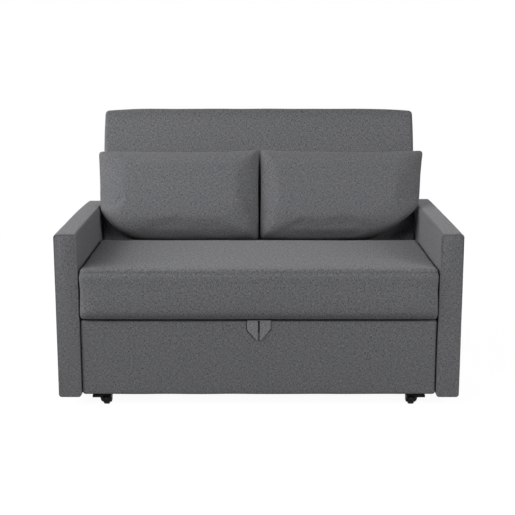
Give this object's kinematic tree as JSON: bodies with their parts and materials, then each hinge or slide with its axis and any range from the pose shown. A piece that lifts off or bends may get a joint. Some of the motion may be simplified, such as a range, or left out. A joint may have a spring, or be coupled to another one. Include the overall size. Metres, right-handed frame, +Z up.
{
  "type": "sleeper sofa",
  "caption": "Compact sleeper sofa with slim box arms, a flip-forward seat on a roll-out slatted trolley and a reclining back, so that it opens into a flat bed.",
  "frame": {"origin": "on the floor, under the middle of the sofa's bounding box", "axes": "+X across the sofa to the right as seen from the front, +Y from the front to the back, +Z up"},
  "size_m": [1.38, 0.831, 0.9778],
  "materials": {
    "upholstery": "plain weave, heathered dark grey, matt",
    "bed_fabric": "plain weave, dark grey, matt",
    "timber": "planed, clear and matt",
    "black_plastic": "moulded, fine texture",
    "black_steel": "black powder coat",
    "bright_steel": "zinc plated"
  },
  "bodies": {
    "frame": {"arm_left": "upholstery", "arm_right": "upholstery", "front_foot_left": "black_plastic", "front_foot_right": "black_plastic", "rear_foot_left": "black_plastic", "rear_foot_right": "black_plastic", "base_side_rail_left": "timber", "base_side_rail_right": "timber", "base_front_rail": "timber", "base_rear_rail": "timber", "sinuous_spring_1": "bright_steel", "sinuous_spring_2": "bright_steel", "sinuous_spring_3": "bright_steel", "sinuous_spring_4": "bright_steel", "sinuous_spring_5": "bright_steel", "base_mattress": "bed_fabric", "seat_hinge_strip": "bed_fabric", "rear_panel": "upholstery", "runner_left": "black_steel", "runner_right": "black_steel", "hinge_plate_left": "black_steel", "hinge_plate_right": "black_steel", "hinge_pin_left": "bright_steel", "hinge_pin_right": "bright_steel"},
    "trolley": {"trolley_side_left": "timber", "trolley_side_right": "timber", "trolley_front_beam": "timber", "trolley_rear_beam": "timber", "trolley_centre_beam": "timber", "slat_1": "timber", "slat_2": "timber", "slat_3": "timber", "slat_4": "timber", "slat_5": "timber", "slat_6": "timber", "front_panel": "upholstery", "pull_tab": "upholstery", "caster_housing_left": "black_plastic", "caster_housing_right": "black_plastic", "caster_axle_left": "bright_steel", "caster_axle_right": "bright_steel", "roller_bolt_left": "bright_steel", "roller_bolt_right": "bright_steel"},
    "wheel_left": {"caster_wheel_left": "black_plastic"},
    "wheel_right": {"caster_wheel_right": "black_plastic"},
    "roller_left": {"roller_left": "black_plastic"},
    "roller_right": {"roller_right": "black_plastic"},
    "seat": {"seat_cushion": "upholstery"},
    "backrest": {"backrest_pad": "upholstery", "backrest_frame": "timber", "backrest_rear_cover": "upholstery", "hinge_leaf_left": "black_steel", "hinge_leaf_right": "black_steel"},
    "pillow_left": {"pillow_left": "upholstery"},
    "pillow_right": {"pillow_right": "upholstery"}
  },
  "joints": [
    {"name": "trolley_pull", "type": "slide", "parent": "frame", "child": "trolley", "axis": [0, -1, 0], "range_m": [0, 0.6]},
    {"name": "wheel_left_spin", "type": "hinge", "parent": "trolley", "child": "wheel_left", "pos_m": [-0.53, -0.35291, 0.017], "axis": [1, 0, 0], "continuous": true},
    {"name": "wheel_right_spin", "type": "hinge", "parent": "trolley", "child": "wheel_right", "pos_m": [0.53, -0.35291, 0.017], "axis": [1, 0, 0], "continuous": true},
    {"name": "roller_left_spin", "type": "hinge", "parent": "trolley", "child": "roller_left", "pos_m": [-0.5965, 0.26709, 0.0738], "axis": [1, 0, 0], "continuous": true},
    {"name": "roller_right_spin", "type": "hinge", "parent": "trolley", "child": "roller_right", "pos_m": [0.5965, 0.26709, 0.0738], "axis": [1, 0, 0], "continuous": true},
    {"name": "seat_flip", "type": "hinge", "parent": "frame", "child": "seat", "pos_m": [0, -0.40792, 0.3179], "axis": [1, 0, 0], "range_deg": [0, 180]},
    {"name": "back_recline", "type": "hinge", "parent": "frame", "child": "backrest", "pos_m": [0, 0.22088, 0.2556], "axis": [-1, 0, 0], "range_deg": [0, 79]},
    {"name": "pillow_left_lift", "type": "slide", "parent": "backrest", "child": "pillow_left", "axis": [0, -0.9816, 0.1908], "range_m": [0, 0.3]},
    {"name": "pillow_right_lift", "type": "slide", "parent": "backrest", "child": "pillow_right", "axis": [0, -0.9816, 0.1908], "range_m": [0, 0.3]}
  ]
}
